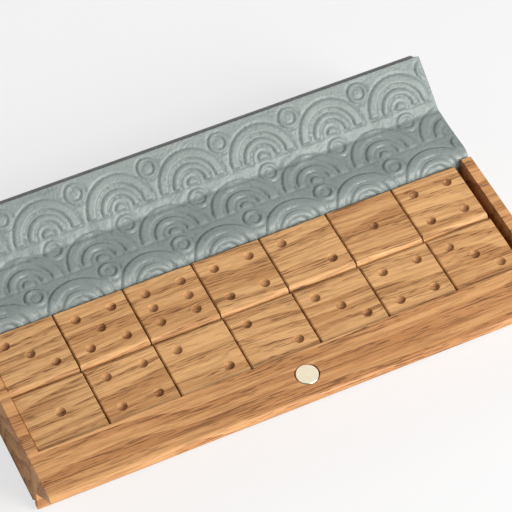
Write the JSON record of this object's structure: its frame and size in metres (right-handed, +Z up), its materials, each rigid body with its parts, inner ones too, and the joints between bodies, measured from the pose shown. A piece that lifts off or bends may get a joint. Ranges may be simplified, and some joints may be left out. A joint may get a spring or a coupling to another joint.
{
  "type": "boxed domino set",
  "caption": "Shallow wooden tray of stacked domino tiles with a magnet in its front rim and a folding leather lid hinged along the back.",
  "frame": {"origin": "centre of the tray's base, on the surface that it stands on", "axes": "+Z up, +X along the row of tiles, +Y from the front rim with the magnet towards the lid's hinge"},
  "size_m": [0.1812, 0.1314, 0.0378],
  "materials": {
    "oak_tile": "oiled oak, open grain along the row",
    "oak_rail": "oiled oak",
    "floor_ply": "sanded",
    "felt": "pressed felt",
    "suede": "suede",
    "hide_dark": "pebbled grey leather",
    "hide_light": "pebbled grey leather, embossed",
    "greyboard": "pressed board",
    "magnet": "warm nickel plate",
    "steel": "zinc plate"
  },
  "bodies": {
    "tray": {"base_felt": "felt", "floor_panel": "floor_ply", "pocket_lining": "suede", "front_rail": "oak_rail", "back_rail": "oak_rail", "left_rail": "oak_rail", "right_rail": "oak_rail", "rim_magnet": "magnet", "rail_leather": "hide_dark"},
    "lid_upright": {"upright_board": "greyboard", "upright_outer_skin": "hide_dark", "upright_inner_skin": "hide_light"},
    "lid_hanging": {"hanging_board": "greyboard", "hanging_outer_skin": "hide_dark", "hanging_inner_skin": "hide_light"},
    "lid_front": {"lying_board": "greyboard", "lying_outer_skin": "hide_dark", "lying_inner_skin": "hide_light", "flap_board": "greyboard", "flap_outer_skin": "hide_dark", "flap_inner_skin": "hide_light", "flap_disc": "steel"},
    "tile_0_0": {"domino_0_0": "oak_tile"},
    "tile_1_1": {"domino_1_1": "oak_tile"},
    "tile_3_5": {"domino_3_5": "oak_tile"},
    "tile_1_3": {"domino_1_3": "oak_tile"},
    "tile_0_1": {"domino_0_1": "oak_tile"},
    "tile_1_2": {"domino_1_2": "oak_tile"},
    "tile_3_6": {"domino_3_6": "oak_tile"},
    "tile_4_5": {"domino_4_5": "oak_tile"},
    "tile_0_2": {"domino_0_2": "oak_tile"},
    "tile_1_5": {"domino_1_5": "oak_tile"},
    "tile_4_4": {"domino_4_4": "oak_tile"},
    "tile_2_6": {"domino_2_6": "oak_tile"},
    "tile_0_3": {"domino_0_3": "oak_tile"},
    "tile_1_6": {"domino_1_6": "oak_tile"},
    "tile_4_6": {"domino_4_6": "oak_tile"},
    "tile_2_4": {"domino_2_4": "oak_tile"},
    "tile_0_4": {"domino_0_4": "oak_tile"},
    "tile_2_2": {"domino_2_2": "oak_tile"},
    "tile_5_5": {"domino_5_5": "oak_tile"},
    "tile_2_3": {"domino_2_3": "oak_tile"},
    "tile_0_5": {"domino_0_5": "oak_tile"},
    "tile_2_5": {"domino_2_5": "oak_tile"},
    "tile_5_6": {"domino_5_6": "oak_tile"},
    "tile_1_4": {"domino_1_4": "oak_tile"},
    "tile_0_6": {"domino_0_6": "oak_tile"},
    "tile_3_3": {"domino_3_3": "oak_tile"},
    "tile_6_6": {"domino_6_6": "oak_tile"},
    "tile_3_4": {"domino_3_4": "oak_tile"}
  },
  "joints": [
    {"name": "lid_hinge", "type": "hinge", "parent": "tray", "child": "lid_upright", "pos_m": [0, 0.0471, 0.0261], "axis": [-1, 0, 0], "range_deg": [-143.5, 0]},
    {"name": "lid_fold_1", "type": "hinge", "parent": "lid_upright", "child": "lid_hanging", "pos_m": [0, 0.06536, 0.03538], "axis": [-1, 0, 0], "range_deg": [-153.59, 0]},
    {"name": "lid_fold_2", "type": "hinge", "parent": "lid_hanging", "child": "lid_front", "pos_m": [0, 0.05254, 0.0033], "axis": [-1, 0, 0], "range_deg": [0, 117.09]},
    {"name": "lift_0_0", "type": "slide", "parent": "tray", "child": "tile_0_0", "axis": [0, 0, 1], "range_m": [0, 0.03]},
    {"name": "lift_1_1", "type": "slide", "parent": "tile_0_0", "child": "tile_1_1", "axis": [0, 0, 1], "range_m": [0, 0.03]},
    {"name": "lift_3_5", "type": "slide", "parent": "tile_1_1", "child": "tile_3_5", "axis": [0, 0, 1], "range_m": [0, 0.03]},
    {"name": "lift_1_3", "type": "slide", "parent": "tile_3_5", "child": "tile_1_3", "axis": [0, 0, 1], "range_m": [0, 0.03]},
    {"name": "lift_0_1", "type": "slide", "parent": "tray", "child": "tile_0_1", "axis": [0, 0, 1], "range_m": [0, 0.03]},
    {"name": "lift_1_2", "type": "slide", "parent": "tile_0_1", "child": "tile_1_2", "axis": [0, 0, 1], "range_m": [0, 0.03]},
    {"name": "lift_3_6", "type": "slide", "parent": "tile_1_2", "child": "tile_3_6", "axis": [0, 0, 1], "range_m": [0, 0.03]},
    {"name": "lift_4_5", "type": "slide", "parent": "tile_3_6", "child": "tile_4_5", "axis": [0, 0, 1], "range_m": [0, 0.03]},
    {"name": "lift_0_2", "type": "slide", "parent": "tray", "child": "tile_0_2", "axis": [0, 0, 1], "range_m": [0, 0.03]},
    {"name": "lift_1_5", "type": "slide", "parent": "tile_0_2", "child": "tile_1_5", "axis": [0, 0, 1], "range_m": [0, 0.03]},
    {"name": "lift_4_4", "type": "slide", "parent": "tile_1_5", "child": "tile_4_4", "axis": [0, 0, 1], "range_m": [0, 0.03]},
    {"name": "lift_2_6", "type": "slide", "parent": "tile_4_4", "child": "tile_2_6", "axis": [0, 0, 1], "range_m": [0, 0.03]},
    {"name": "lift_0_3", "type": "slide", "parent": "tray", "child": "tile_0_3", "axis": [0, 0, 1], "range_m": [0, 0.03]},
    {"name": "lift_1_6", "type": "slide", "parent": "tile_0_3", "child": "tile_1_6", "axis": [0, 0, 1], "range_m": [0, 0.03]},
    {"name": "lift_4_6", "type": "slide", "parent": "tile_1_6", "child": "tile_4_6", "axis": [0, 0, 1], "range_m": [0, 0.03]},
    {"name": "lift_2_4", "type": "slide", "parent": "tile_4_6", "child": "tile_2_4", "axis": [0, 0, 1], "range_m": [0, 0.03]},
    {"name": "lift_0_4", "type": "slide", "parent": "tray", "child": "tile_0_4", "axis": [0, 0, 1], "range_m": [0, 0.03]},
    {"name": "lift_2_2", "type": "slide", "parent": "tile_0_4", "child": "tile_2_2", "axis": [0, 0, 1], "range_m": [0, 0.03]},
    {"name": "lift_5_5", "type": "slide", "parent": "tile_2_2", "child": "tile_5_5", "axis": [0, 0, 1], "range_m": [0, 0.03]},
    {"name": "lift_2_3", "type": "slide", "parent": "tile_5_5", "child": "tile_2_3", "axis": [0, 0, 1], "range_m": [0, 0.03]},
    {"name": "lift_0_5", "type": "slide", "parent": "tray", "child": "tile_0_5", "axis": [0, 0, 1], "range_m": [0, 0.03]},
    {"name": "lift_2_5", "type": "slide", "parent": "tile_0_5", "child": "tile_2_5", "axis": [0, 0, 1], "range_m": [0, 0.03]},
    {"name": "lift_5_6", "type": "slide", "parent": "tile_2_5", "child": "tile_5_6", "axis": [0, 0, 1], "range_m": [0, 0.03]},
    {"name": "lift_1_4", "type": "slide", "parent": "tile_5_6", "child": "tile_1_4", "axis": [0, 0, 1], "range_m": [0, 0.03]},
    {"name": "lift_0_6", "type": "slide", "parent": "tray", "child": "tile_0_6", "axis": [0, 0, 1], "range_m": [0, 0.03]},
    {"name": "lift_3_3", "type": "slide", "parent": "tile_0_6", "child": "tile_3_3", "axis": [0, 0, 1], "range_m": [0, 0.03]},
    {"name": "lift_6_6", "type": "slide", "parent": "tile_3_3", "child": "tile_6_6", "axis": [0, 0, 1], "range_m": [0, 0.03]},
    {"name": "lift_3_4", "type": "slide", "parent": "tile_6_6", "child": "tile_3_4", "axis": [0, 0, 1], "range_m": [0, 0.03]}
  ],
  "couplings": [
    {"joint": "lid_fold_1", "follows": "lid_hinge", "ratio": 1.0703},
    {"joint": "lid_fold_2", "follows": "lid_hinge", "ratio": -0.81599}
  ]
}
